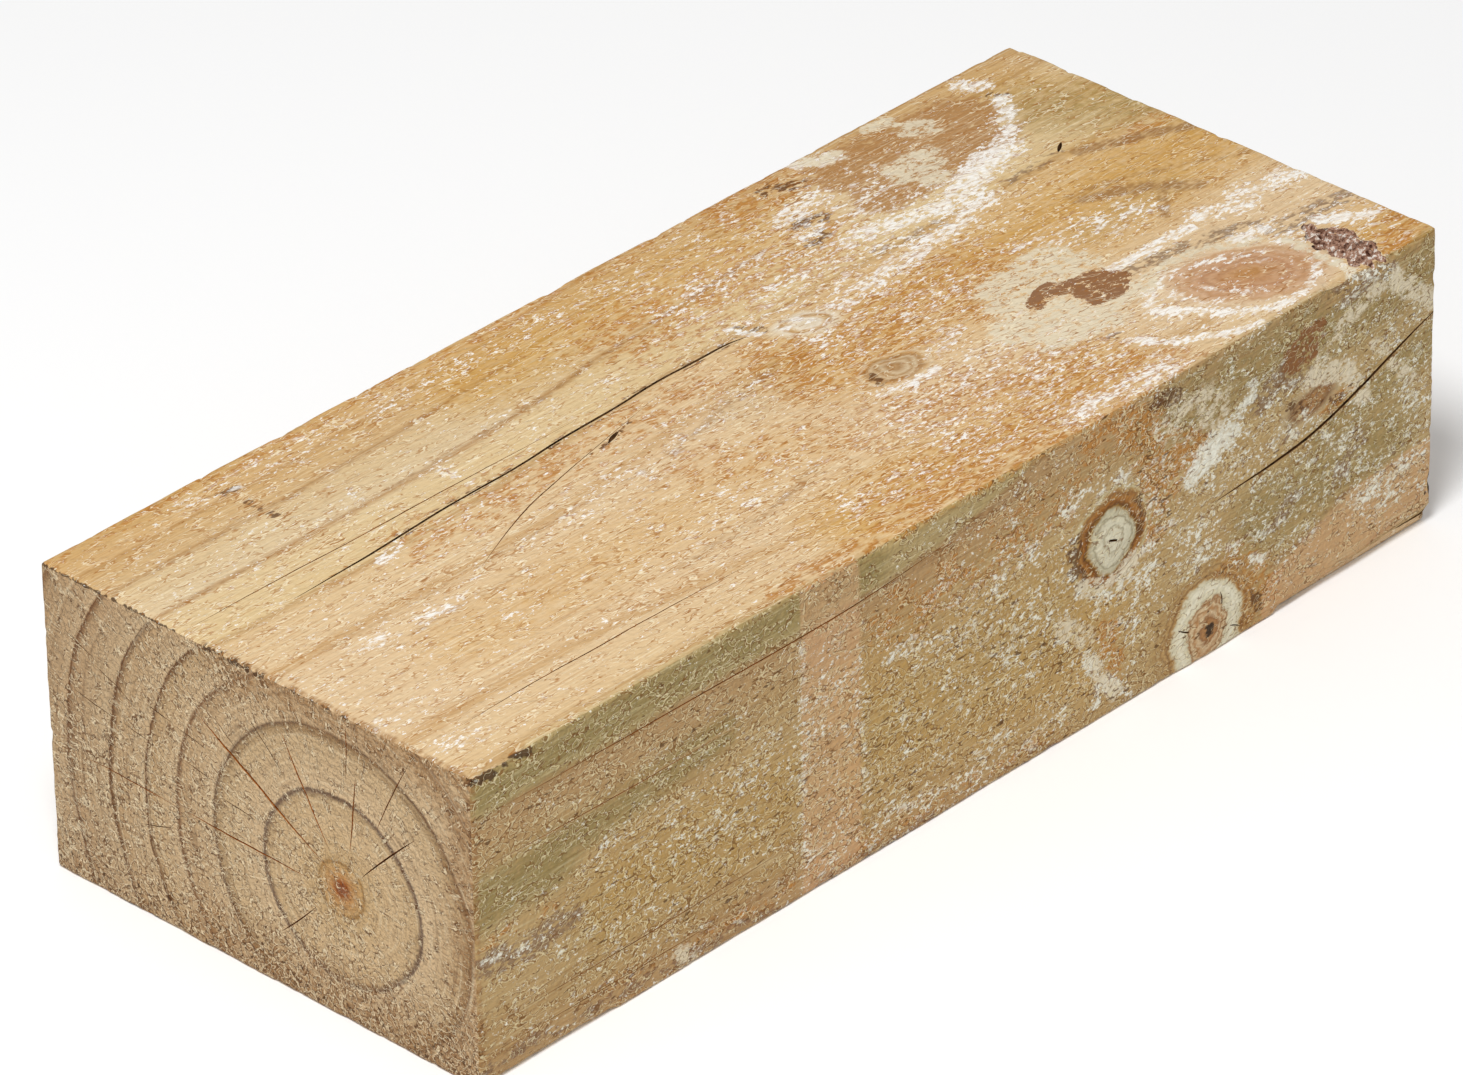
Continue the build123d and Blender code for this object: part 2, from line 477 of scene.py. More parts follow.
# The brown knot's near-black middle is painted shade of a small hole at its heart.
BROWN_KNOT = (
    (0.0, "2E1C10", 1.0), (0.07, "2E1C10", 1.0), (0.1, "AE7E4E", 1.0), (0.16, "94673E", 1.0),
    (0.21, "D2B892", 1.0), (0.26, "AC7E50", 1.0), (0.31, "D4BC96", 1.0), (0.35, "986C42", 1.0),
    (0.39, "D4CCAE", 0.95), (0.5, "E6E0C8", 0.95), (0.6, "D4CCAE", 0.9), (0.65, "AE864E", 0.75),
    (0.69, "7A4E24", 0.65), (0.74, "BE965C", 0.5), (0.79, "80562A", 0.6), (0.84, "B8945A", 0.4),
    (0.89, "8A6030", 0.45), (0.94, "B49458", 0.3), (1.0, "B49458", 0.0),
)
TIGHT_KNOT = (
    (0.0, "B89468", 0.75), (0.2, "9C7448", 0.75), (0.34, "C8B494", 0.65), (0.46, "A07A4E", 0.7),
    (0.56, "C8B494", 0.6), (0.64, "96683A", 0.6), (0.7, "8A5C2C", 0.55), (0.78, "BE9258", 0.45),
    (0.88, "E0D2B6", 0.5), (1.0, "E0D2B6", 0.0),
)
CURLED_GRAIN = (
    (0.0, "D8C8AC", 0.7), (0.3, "E6DCC8", 0.8), (0.46, "CEB084", 0.7), (0.56, "A87C48", 0.6),
    (0.66, "E2D6C0", 0.8), (0.85, "DCCDB0", 0.5), (1.0, "DCCDB0", 0.0),
)
SPIKE_KNOT = (
    (0.0, "7A5030", 0.8), (0.3, "A07A50", 0.6), (0.5, "7A5434", 0.75), (0.75, "BFAA84", 0.6),
    (1.0, "BFAA84", 0.0),
)
TOP_KNOTS = (
    ((410, 173, 0), (36, 22, 12), 27, OVAL_KNOT),
    ((282, 125, 0), (16, 10, 8), 8, TIGHT_KNOT),
    ((284, 82, 0), (17, 9, 8), 18, CURLED_GRAIN),
)
SIDE_KNOTS = (
    ((309, 200, 50), (20, 12, 21), 0, PALE_KNOT),
    ((359, 200, 109), (30, 14, 30), 0, BROWN_KNOT),
    ((413, 200, 42), (20, 9, 9), 12, SPIKE_KNOT),
)


def linear(hex_colour, alpha=1.0):
    """The linear RGBA of an sRGB hex colour."""
    tones = [int(hex_colour[i:i + 2], 16) / 255 for i in (0, 2, 4)]
    light = [t / 12.92 if t <= 0.04045 else ((t + 0.055) / 1.055) ** 2.4 for t in tones]
    return (*light, alpha)


def add(tree, kind, inputs=None, out=0, stops=(), **settings):
    """Add one node with its settings and links, and give the socket that it puts out."""
    node = tree.nodes.new(kind)
    for name, value in settings.items():
        setattr(node, name, value)
    for key, value in (inputs or {}).items():
        if isinstance(value, bpy.types.NodeSocket):
            tree.links.new(value, node.inputs[key])
        else:
            node.inputs[key].default_value = value
    if stops:
        ramp = node.color_ramp.elements
        ramp.remove(ramp[1])
        ramp[0].position = stops[0][0]
        ramp[0].color = stops[0][1]
        for position, colour in stops[1:]:
            ramp.new(position).color = colour
    return node.outputs[out] if node.outputs else None


class SleeperSizes(bpy.types.PropertyGroup):
    """Sizes of the sawn block and of its mesh."""

    arris: bpy.props.FloatProperty(
        name="Arris", description="Radius that handling rubbed the arrises to",
        default=1.5 * MM, unit="LENGTH")
    pitch: bpy.props.FloatProperty(
        name="Mesh pitch", description="Spacing of the mesh that carries the sawn relief",
        default=2.2 * MM, unit="LENGTH")


# Each mark's colour, and what it is
MARK_COLOURS = {
    "cream": ("DDD0B4", "Smooth cream patches of dried resin"),
    "bark": ("86562F", "Dark inner bark and torn knots"),
    "smudge": ("82664E", "Purple-grey sap stain"),
    "stain": ("B4762A", "Orange-brown resin stain"),
    "skin": ("A87844", "Smooth brown skin of the wood under the bark"),
    "resin": ("5E3A1A", "Dark brown resin at knots"),
    "gold": ("C69438", "Golden resinous heartwood"),
    "olive": ("8E7C4A", "Green bloom of the preservative"),
    "sticker": ("D2A47A", "Pink band that a stacking lath kept the preservative from"),
    "streak": ("966E44", "Grey-brown latewood streaks"),
    # Crevice is painted shade: the dark shadow in hollows under torn fibres, laid on as colour
    "crevice": ("4A3420", "Dark hollows under torn fibres"),
}


class SleeperColours(bpy.types.PropertyGroup):
    """Colours of the marks on the wood."""

    __annotations__ = {
        name: bpy.props.FloatVectorProperty(
            name=name.capitalize(), description=description, default=linear(tint), size=4, subtype="COLOR")
        for name, (tint, description) in MARK_COLOURS.items()
    }


def select_only(thing):
    """Make one object the only selected and the active one."""
    bpy.ops.object.select_all(action="DESELECT")
    thing.select_set(True)
    bpy.context.view_layer.objects.active = thing


def apply_all(thing):
    """Apply every modifier of an object, in order."""
    select_only(thing)
    for modifier in list(thing.modifiers):
        bpy.ops.object.modifier_apply(modifier=modifier.name)


def sawn_block(sizes):
    """A box at the frame's size, with rounded arrises and an even grid on each face."""
    bpy.ops.object.select_all(action="DESELECT")
    bpy.ops.mesh.primitive_cube_add(size=1.0, location=(LOW + HIGH) / 2)
    block = bpy.context.object
    block.name = "sawn_sleeper"
    block.data.name = "sawn_sleeper"
    block.scale = (LENGTH, WIDTH, HEIGHT)
    bpy.ops.object.transform_apply(location=True, rotation=True, scale=True)
    bpy.ops.object.mode_set(mode="EDIT")
    bpy.ops.mesh.select_all(action="SELECT")
    bpy.ops.mesh.bevel(offset=sizes.arris, segments=3, profile=0.5, affect="EDGES")
    for axis, size in enumerate((LENGTH, WIDTH, HEIGHT)):
        divide_along(block, axis, round(size / sizes.pitch))
    bpy.ops.object.mode_set(mode="OBJECT")
    return block


def divide_along(block, axis, parts):
    """Divide every long edge that runs along an axis into about so many parts, in up to two rounds."""
    most = 54
    straight = 0.99
    shortest = 3 * MM
    steps = [most, round(parts / most)] if parts > most else [parts]
    for step in steps:
        if step > 1:
            bpy.ops.mesh.select_mode(type="EDGE")
            bpy.ops.mesh.select_all(action="DESELECT")
            bpy.ops.object.mode_set(mode="OBJECT")
            ends = np.empty(len(block.data.vertices) * 3)
            block.data.vertices.foreach_get("co", ends)
            pairs = np.empty(len(block.data.edges) * 2, int)
            block.data.edges.foreach_get("vertices", pairs)
            ends = ends.reshape(-1, 3)[pairs.reshape(-1, 2)]
            run = np.abs(ends[:, 1] - ends[:, 0])
            along = run[:, axis] > straight * np.linalg.norm(run, axis=1)
            block.data.edges.foreach_set("select", along & (run[:, axis] > shortest))
            bpy.ops.object.mode_set(mode="EDIT")
            bpy.ops.mesh.subdivide(number_cuts=step - 1)


def places_on(face, points):
    """Where points lie on a photographed face: along, down and out of it, in mm."""
    corner, along, down, out = FACES[face]
    return (points - np.array(corner)) @ np.array((along, down, out)).T / MM


def reach(spots, path):
    """The distance in mm from each spot to a brush path."""
    path = np.array(path, float)
    nearest = np.full(len(spots), np.inf)
    for start, stop in zip(path[:-1], path[1:]):
        run = stop - start
        share = np.clip((spots - start) @ run / (run @ run), 0, 1)
        gap = np.linalg.norm(spots - start - share[:, None] * run, axis=1)
        nearest = np.minimum(nearest, gap)
    return nearest


def paint_marks(block, sizes):
    """Paint each mark's strokes on the mesh as a named attribute."""
    points = np.empty(len(block.data.vertices) * 3)
    block.data.vertices.foreach_get("co", points)
    points = points.reshape(-1, 3)
    layers = {name: np.zeros(len(points)) for name in PAINTS}
    for face, paints in BRUSHWORK.items():
        spots = places_on(face, points)
        on_face = spots[:, 2] > -STROKE_WRAP * sizes.arris / MM
        for paint, strokes in paints.items():
            for strength, radius, *path in strokes:
                near = np.clip(1 - (reach(spots[:, :2], path) / radius) ** 2, 0, 1) ** STROKE_FADE
                dab = strength * near * on_face
                if paint == "relief":
                    layers[paint] += dab
                else:
                    layers[paint] = np.maximum(layers[paint], dab)
    gaps = np.minimum(points - np.array(LOW), np.array(HIGH) - points)
    layers["arris"] = np.clip(1 - np.sort(gaps, axis=1)[:, 1] / (CHIP_REACH * MM), 0, 1)
    for name, values in layers.items():
        layer = block.data.attributes.new(name, "FLOAT", "POINT")
        layer.data.foreach_set("value", values.astype(np.float32))


def in_mm(tree, spot):
    """A place in the frame as mm along the grain, across the top and down the side."""
    corner = (-LOW.x / MM, HIGH.y / MM, HIGH.z / MM)
    return add(tree, "ShaderNodeVectorMath", {0: spot, 1: (1 / MM, -1 / MM, -1 / MM), 2: corner},
               operation="MULTIPLY_ADD")


def cloud(tree, place, spacing, detail, roughness=0.5, out=0):
    """Noise, with clouds the given mm apart along, across and down."""
    scaled = add(tree, "ShaderNodeVectorMath", {0: place, 1: [1 / s for s in spacing]},
                 operation="MULTIPLY")
    return add(tree, "ShaderNodeTexNoise",
               {"Vector": scaled, "Scale": 1.0, "Detail": detail, "Roughness": roughness}, out=out)


def figure(tree, place, spacing, detail, roughness=0.55):
    """Uneven figure of wood, about -1 to 1, with marks the given mm apart along, across and down."""
    noise = cloud(tree, place, spacing, detail, roughness)
    low, high = NOISE_MIDDLE - NOISE_STRAY, NOISE_MIDDLE + NOISE_STRAY
    return add(tree, "ShaderNodeMapRange", {0: noise, 1: low, 2: high, 3: -1.0, 4: 1.0}, clamp=False)


def wander(tree, place, spacing, amount):
    """The place pushed about by up to about so many mm, so that lines and rims come out uneven."""
    push = cloud(tree, place, spacing, 1.0, out=1)
    centred = add(tree, "ShaderNodeVectorMath", {0: push, 1: [NOISE_MIDDLE] * 3}, operation="SUBTRACT")
    return add(tree, "ShaderNodeVectorMath",
               {0: centred, 1: [a / NOISE_STRAY for a in amount], 2: place}, operation="MULTIPLY_ADD")


def growth(tree, place, spacing, density):
    """Feathery growth that gathers in clumps, and never quite joins up however dense it is."""
    clump_size = 5
    densest = 1.1
    feather = figure(tree, place, spacing, 4.0, 0.75)
    clump = figure(tree, place, [clump_size * s for s in spacing], 0.0)
    apart = add(tree, "ShaderNodeMath", {0: density, 1: densest}, operation="MINIMUM")
    grown = add(tree, "ShaderNodeMath", {0: feather, 1: 1.7, 2: apart}, operation="MULTIPLY_ADD")
    return add(tree, "ShaderNodeMath", {0: clump, 1: 0.25, 2: grown}, operation="MULTIPLY_ADD")


def hairs(tree, colour, place, gate, layer, look):
    """Painted shade of thin torn hollows, each with a painted highlight on the pale lifted fibre beside it,
    cut to short lengths by a gate.
    """
    degrees, spacing, cover = layer
    gate_fade = 0.35
    turned = add(tree, "ShaderNodeVectorRotate", {"Vector": place, "Angle": math.radians(degrees)},
                 rotation_type=look["axis"] + "_AXIS")
    strands = cloud(tree, turned, spacing, 0.0)
    bands = (("shade_and_dark_grain", (0.455, 0.48, 0.505, 0.525)), ("highlight_and_pale_grain", (0.53, 0.55, 0.57, 0.595)))
    stops = [(level, linear(look[tint], share)) for tint, levels in bands
             for level, share in zip(levels, (0.0, cover, cover, 0.0))]
    pair = add(tree, "ShaderNodeValToRGB", {0: strands}, stops=stops)
    short = add(tree, "ShaderNodeMapRange", {0: gate, 1: look["gate"], 2: look["gate"] + gate_fade})
    mask = add(tree, "ShaderNodeMath", {0: pair.node.outputs["Alpha"], 1: short}, operation="MULTIPLY")
    return add(tree, "ShaderNodeMix", {0: mask, 6: colour, 7: pair}, out=2, data_type="RGBA")


def raise_grain(block):
    """Lift and sink the surface with painted relief, saw waves and wear, but not below the floor."""
    tree = bpy.data.node_groups.new("raised_grain", "GeometryNodeTree")
    for way in ("INPUT", "OUTPUT"):
        tree.interface.new_socket("Geometry", in_out=way, socket_type="NodeSocketGeometry")
    place = in_mm(tree, add(tree, "GeometryNodeInputPosition"))
    relief = add(tree, "GeometryNodeInputNamedAttribute", {"Name": "relief"}, data_type="FLOAT")
    arris = add(tree, "GeometryNodeInputNamedAttribute", {"Name": "arris"}, data_type="FLOAT")
    wave = figure(tree, place, (46, 13, 13), 3.0)
    saw = add(tree, "ShaderNodeMath", {0: wave, 1: SAW_WAVE, 2: -SAW_SINK}, operation="MULTIPLY_ADD")
    chips = figure(tree, place, (13, 8, 8), 3.0, 0.6)
    wear = add(tree, "ShaderNodeMapRange", {0: chips, 1: 0.1, 2: 1.2, 3: 0.0, 4: -CHIP_DEPTH})
    worn = add(tree, "ShaderNodeMath", {0: arris, 1: wear}, operation="MULTIPLY")
    height = add(tree, "ShaderNodeMath", {0: saw, 1: relief}, operation="ADD")
    height = add(tree, "ShaderNodeMath", {0: height, 1: worn}, operation="ADD")
    metres = add(tree, "ShaderNodeMath", {0: height, 1: MM}, operation="MULTIPLY")
    out = add(tree, "GeometryNodeInputNormal")
    offset = add(tree, "ShaderNodeVectorMath", {0: out, "Scale": metres}, operation="SCALE")
    source = add(tree, "NodeGroupInput")
    moved = add(tree, "GeometryNodeSetPosition", {"Geometry": source, "Offset": offset})
    # The limits along and across lie well outside the block, so only the underside is held
    floor = (LOW.x - LENGTH, LOW.y - WIDTH, LOW.z)
    resting = add(tree, "ShaderNodeVectorMath", {0: add(tree, "GeometryNodeInputPosition"), 1: floor},
                  operation="MAXIMUM")
    flattened = add(tree, "GeometryNodeSetPosition", {"Geometry": moved, "Position": resting})
    add(tree, "NodeGroupOutput", {0: flattened})
    block.modifiers.new("raised_grain", "NODES").node_group = tree
    apply_all(block)
    bpy.data.node_groups.remove(tree)


def blade(face, mouth, depth, path):
    """A long thin wedge along a path, point down into the face, to open a check with."""
    # It stands this many mm out of the face, its tips are this share of its size, and near points are welded
    lift = 1.5
    tip = 0.15
    weld = 0.02 * MM
    half = mouth / 2 * (depth + lift) / depth
    edge = bpy.data.curves.new("blade_edge", "CURVE")
    edge.dimensions = "2D"
    outline = edge.splines.new("POLY")
    outline.points.add(2)
    outline.use_cyclic_u = True
    for point, spot in zip(outline.points, ((-half, lift), (half, lift), (0, -depth))):
        point.co = (spot[0] * MM, spot[1] * MM, 0, 1)
    edge_object = bpy.data.objects.new("blade_edge", edge)
    run = bpy.data.curves.new("blade", "CURVE")
    run.dimensions = "3D"
    run.twist_mode = "Z_UP"
    run.bevel_mode = "OBJECT"
    run.bevel_object = edge_object
    run.use_fill_caps = True
    run.resolution_u = 4
    line = run.splines.new("NURBS")
    line.points.add(len(path) - 1)
    for point, spot in zip(line.points, path):
        point.co = (spot[0] * MM, spot[1] * MM, 0, 1)
    line.points[0].radius = tip
    line.points[-1].radius = tip
    line.order_u = 3
    line.use_endpoint_u = True
    knife = bpy.data.objects.new("blade", run)
    bpy.context.collection.objects.link(edge_object)
    bpy.context.collection.objects.link(knife)
    select_only(knife)
    bpy.ops.object.convert(target="MESH")
    corner, along, down, out = FACES[face]
    turn = Matrix((along, down, out)).transposed().to_4x4()
    knife.data.transform(Matrix.Translation(corner) @ turn)
    bpy.data.objects.remove(edge_object)
    bpy.data.curves.remove(edge)
    bpy.ops.object.mode_set(mode="EDIT")
    bpy.ops.mesh.select_all(action="SELECT")
    bpy.ops.mesh.remove_doubles(threshold=weld)
    bpy.ops.mesh.normals_make_consistent(inside=False)
    bpy.ops.object.mode_set(mode="OBJECT")
    return knife


def cut(block, cutters, finish):
    """Cut the joined cutters out of the block, and line the cuts with their own finish."""
    bpy.ops.object.select_all(action="DESELECT")
    for cutter in cutters:
        cutter.select_set(True)
    bpy.context.view_layer.objects.active = cutters[0]
    if len(cutters) > 1:
        bpy.ops.object.join()
    knife = cutters[0]
    knife.data.materials.clear()
    knife.data.materials.append(finish)
    boolean = block.modifiers.new("cut", "BOOLEAN")
    boolean.operation = "DIFFERENCE"
    boolean.solver = "MANIFOLD"
    boolean.material_mode = "TRANSFER"
    boolean.object = knife
    apply_all(block)
    bpy.data.objects.remove(knife)


def torn_knot_cutter():
    """A rough oval ball, sunk into the top right arris where a knot tore out."""
    bpy.ops.object.select_all(action="DESELECT")
    bpy.ops.mesh.primitive_ico_sphere_add(subdivisions=5, radius=1.0)
    ball = bpy.context.object
    ball.scale = [half * MM for half in TORN_HALVES]
    bpy.ops.object.transform_apply(location=False, rotation=False, scale=True)
    ball.location = (HIGH.x - TORN_FROM_END * MM, LOW.y + TORN_FROM_SIDE * MM, HIGH.z)
    bpy.ops.object.transform_apply(location=True, rotation=False, scale=False)
    clouds = bpy.data.textures.new("torn", "CLOUDS")
    clouds.noise_scale = TORN_SPACING * MM
    clouds.noise_depth = 3
    tear = ball.modifiers.new("torn", "DISPLACE")
    tear.texture = clouds
    tear.strength = TORN_HEIGHT * MM
    tear.mid_level = 0.55
    apply_all(ball)
    bpy.data.textures.remove(clouds)
    return ball


def open_checks(block):
    """Open the seasoning checks, the split, the holes and the torn knot."""
    # The dry checks are lined dark brown, painted shade for their narrow depths
    dark = lining("painted_shade_check", "6A4828", "3A2614")
    resin = lining("resin_filled_check", "A86428", "7A4416")
    torn = lining("torn_knot_wood", "B08A74", "5A382A", "EAE2D8")
    for face, strokes in CHECKS.items():
        for finish, is_filled in ((resin, True), (dark, False)):
            cutters = [blade(face, mouth, depth, path) for mouth, depth, *path in strokes
                       if ((mouth > FILLED_MOUTH) == (face == "end")) == is_filled]
            if cutters:
                cut(block, cutters, finish)
    cut(block, [torn_knot_cutter()], torn)


def matt(name, roughness, gloss):
    """A new dull material, with its node tree and its shader."""
    material = bpy.data.materials.new(name)
    material.use_nodes = True
    shader = material.node_tree.nodes["Principled BSDF"]
    shader.inputs["Roughness"].default_value = roughness
    shader.inputs["Specular IOR Level"].default_value = gloss
    return material, material.node_tree, shader


def surface(tree, shader, colour, relief, depth):
    """Give a shader its colour, and relief so many mm deep that is too fine for the mesh."""
    normal = add(tree, "ShaderNodeBump", {"Height": relief, "Strength": 1.0, "Distance": depth * MM})
    tree.links.new(colour, shader.inputs["Base Color"])
    tree.links.new(normal, shader.inputs["Normal"])


def lining(name, base, deep, bloom=None):
    """Broken wood inside a check: matt, dark and fibrous, darker as painted shade where its fibres sink,
    with bloom on its high fibres.
    """
    material, tree, shader = matt(name, roughness=0.9, gloss=0.2)
    place = in_mm(tree, add(tree, "ShaderNodeTexCoord", out="Object"))
    tear = figure(tree, place, (3.5, 2.2, 2.2), 3.0, 0.65)
    share = add(tree, "ShaderNodeMapRange", {0: tear, 1: -1.0, 2: 1.0})
    stops = [(0.25, linear(deep)), (0.5, linear(base))]
    if bloom:
        stops += [(0.58, linear(base)), (0.7, linear(bloom))]
    colour = add(tree, "ShaderNodeValToRGB", {0: share}, stops=stops)
    surface(tree, shader, colour, tear, depth=0.4)
    return material


def about_pith(tree, place, swelling):
    """The distance from the pith in mm, and that beside the way out, on which figure runs in rings or rays.

    The rings swell towards the knots of the far half: swelling is where it starts and ends along the
    grain, and what the distance is then multiplied by. Rays keep their real spacing at ray_reach.
    """
    ray_reach = 60.0
    start, end, share = swelling
    wavy = wander(tree, place, (120, 40, 40), (0, 1.1, 1.1))
    flat = add(tree, "ShaderNodeVectorMath", {0: wavy, 1: (0, *PITH)}, operation="SUBTRACT")
    across = add(tree, "ShaderNodeVectorMath", {0: flat, 1: (0, 1, 1)}, operation="MULTIPLY")
    straight = add(tree, "ShaderNodeVectorMath", {0: across}, out="Value", operation="LENGTH")
    along = add(tree, "ShaderNodeSeparateXYZ", {0: place})
    swell = add(tree, "ShaderNodeMapRange", {0: along, 1: start, 2: end, 3: 1.0, 4: share},
                interpolation_type="SMOOTHSTEP")
    radius = add(tree, "ShaderNodeMath", {0: straight, 1: swell}, operation="MULTIPLY")
    way = add(tree, "ShaderNodeVectorMath", {0: across}, operation="NORMALIZE")
    outward = add(tree, "ShaderNodeCombineXYZ", {0: radius})
    polar = add(tree, "ShaderNodeVectorMath", {0: way, 1: [ray_reach] * 3, 2: outward},
                operation="MULTIPLY_ADD")
    return radius, polar


def lay(tree, colour, tint, value, low, high, cover):
    """Lay a tint over a colour, from none where a value is low to its full cover where it is high."""
    mask = add(tree, "ShaderNodeMapRange", {0: value, 1: low, 2: high, 3: 0.0, 4: cover},
               interpolation_type="SMOOTHSTEP")
    return add(tree, "ShaderNodeMix", {0: mask, 6: colour, 7: tint}, out=2, data_type="RGBA")


def painted(tree, name, break_up, share):
    """Painted strokes, with a share of some figure added to break up their rims."""
    stroke = add(tree, "ShaderNodeAttribute", out="Fac", attribute_name=name)
    return add(tree, "ShaderNodeMath", {0: break_up, 1: share, 2: stroke}, operation="MULTIPLY_ADD")


def lay_marks(tree, colour, colours, look, break_up, marks):
    """Lay the marks of a group that a face has on it, each broken up only where it is painted."""
    for paint, share, low, high, cover in marks:
        if paint in BRUSHWORK[look["face"]]:
            stroke = add(tree, "ShaderNodeAttribute", out="Fac", attribute_name=paint)
            uneven = add(tree, "ShaderNodeMath", {0: break_up, 1: share, 2: 1.0}, operation="MULTIPLY_ADD")
            value = add(tree, "ShaderNodeMath", {0: stroke, 1: uneven}, operation="MULTIPLY")
            colour = lay(tree, colour, getattr(colours, paint), value, low, high, cover)
    return colour


# Colours of the wood at their distance in mm from the pith
TOP_RINGS = (
    (60, "D9BC93"), (73, "D8BB92"), (75.5, "C49E6C"), (76.6, "D8BB91"), (87.6, "D6B88B"),
    (90, "BA9664"), (91, "D6BB8B"), (106.2, "D7BD90"), (108.5, "B48D60"), (109.4, "D8C099"),
    (125, "D5B98C"), (127.5, "B69060"), (128.6, "CCAB7B"), (138, "C8A36E"), (140, "B68C56"),
    (141, "CFAB78"), (154, "C69E62"), (170, "C9A266"),
)
SIDE_RINGS = (
    (58, "B69866"), (64, "B69868"), (70, "AE8E5E"), (75, "B29062"), (79, "AE8C60"), (80.6, "A48256"),
    (82, "AE9868"), (90, "AB9464"), (100, "B59866"), (170, "B59866"),
)
END_RINGS = (
    (0, "7A3614"), (2.6, "94501E"), (4.6, "B88650"), (9.5, "BE9864"), (10.6, "9A7442"), (11.6, "C2A274"),
    (24, "CCAE84"), (34, "C2A47A"), (35.6, "7C624A"), (36.4, "5C4438"), (37, "CCAF88"),
    (54, "C4A77E"), (58, "9C7E58"), (59.4, "624632"), (60, "C8AB84"),
    (75, "BA9A72"), (77.4, "704828"), (78, "CAAD86"), (90, "BA9A70"), (92.4, "664020"),
    (93, "C6A982"), (107, "B6966E"), (109.6, "664020"), (110.2, "C2A680"), (127, "B2926C"),
    (129.6, "6C4422"), (130.2, "BEA07A"), (148, "AE8E68"), (150.6, "7C5430"), (151.2, "B89A74"),
    (170, "B2946E"),
)

# How each kind of face looks. Sizes are in mm: how its rings swell, its fine figure, its long fibres,
# its short torn fibres (degrees off the grain, spacing and cover) with the gate that they show from, its
# rays, its mould, its dark flecks (spacing, and the level that they show from), and its bump's depth.
# The torn fibres and rays get a painted shade colour in their hollows and a painted highlight colour on
# their lifted fibres, which the long fibres also take as dark and pale tone. On the end the dark flecks
# are painted shade in its pits.
FACE_LOOK = {
    "face": "top", "rings": TOP_RINGS, "swelling": (80.0, 300.0, 0.91), "knots": TOP_KNOTS, "axis": "Z",
    "fine": (4.0, 2.0, 2.0), "fibre": (40, 0.9, 0.9),
    "hairs": ((4, (12, 1.9, 1.9), 0.6), (-20, (8, 2.2, 2.2), 0.6)),
    "shade_and_dark_grain": "A2682A", "highlight_and_pale_grain": "F4E6C4", "gate": -0.15, "rays": None, "mould": "F6F3EC",
    "growth": (3.6, 1.8, 1.8), "fleck_and_pit_shade": "9A6226", "flecks": ((9, 1.2, 1.2), 0.9), "bump": 0.25,
}
SIDE_LOOK = {
    "face": "side", "rings": SIDE_RINGS, "swelling": (200.0, 300.0, 0.86), "knots": SIDE_KNOTS, "axis": "Y",
    "fine": (3.0, 2.0, 2.0), "fibre": (30, 1.0, 1.0),
    "hairs": ((18, (4.0, 2.3, 2.3), 0.75), (-26, (3.6, 2.2, 2.2), 0.7)),
    "shade_and_dark_grain": "744A1C", "highlight_and_pale_grain": "E0D2A8", "gate": -0.25, "rays": None, "mould": "ECEADA",
    "growth": (2.3, 1.5, 1.5), "fleck_and_pit_shade": "5A3A18", "flecks": ((5, 1.4, 1.4), 0.85), "bump": 0.35,
}
END_LOOK = {
    "face": "end", "rings": END_RINGS, "swelling": (80.0, 300.0, 0.91), "knots": (), "axis": "X",
    "fine": (3.0, 1.8, 1.8), "fibre": (1.5, 26, 26),
    "hairs": ((17, (3, 3.2, 3.2), 0.7), (55, (3, 2.2, 3.2), 0.65)),
    "shade_and_dark_grain": "5E3A1A", "highlight_and_pale_grain": "EAD8B4", "gate": -0.05, "rays": (40, 3, 3), "mould": None,
    "growth": None, "fleck_and_pit_shade": "4E3218", "flecks": ((3, 1.5, 1.5), 1.05), "bump": 0.6,
}

# Marks on the wood: each one's name, its share of break-up, where it starts and is full, and its cover.
# The first group soaked in before the surface was torn, the second lies on it, and the third is a crust
# that covers the mould too.
SOAKED_MARKS = (
    ("gold", 0.5, 0.0, 1.1, 0.75),
    ("olive", 0.5, 0.0, 1.1, 0.85),
    ("stain", 1.0, 0.4, 0.9, 0.78),
    ("streak", 0.7, 0.2, 1.0, 0.8),
    ("sticker", 0.0, 0.01, 0.12, 0.5),
    ("skin", 0.6, 0.25, 0.6, 0.85),
)
SURFACE_MARKS = (
    ("smudge", 1.4, 0.35, 1.0, 0.75),
    ("resin", 1.2, 0.45, 0.85, 0.85),
    # Painted shade under torn fibres at the arrises
    ("crevice", 1.0, 0.6, 0.95, 0.9),
)
CRUST_MARKS = (
    ("cream", 1.5, 0.3, 0.9, 0.88),
    ("bark", 1.5, 0.42, 0.55, 0.92),
)


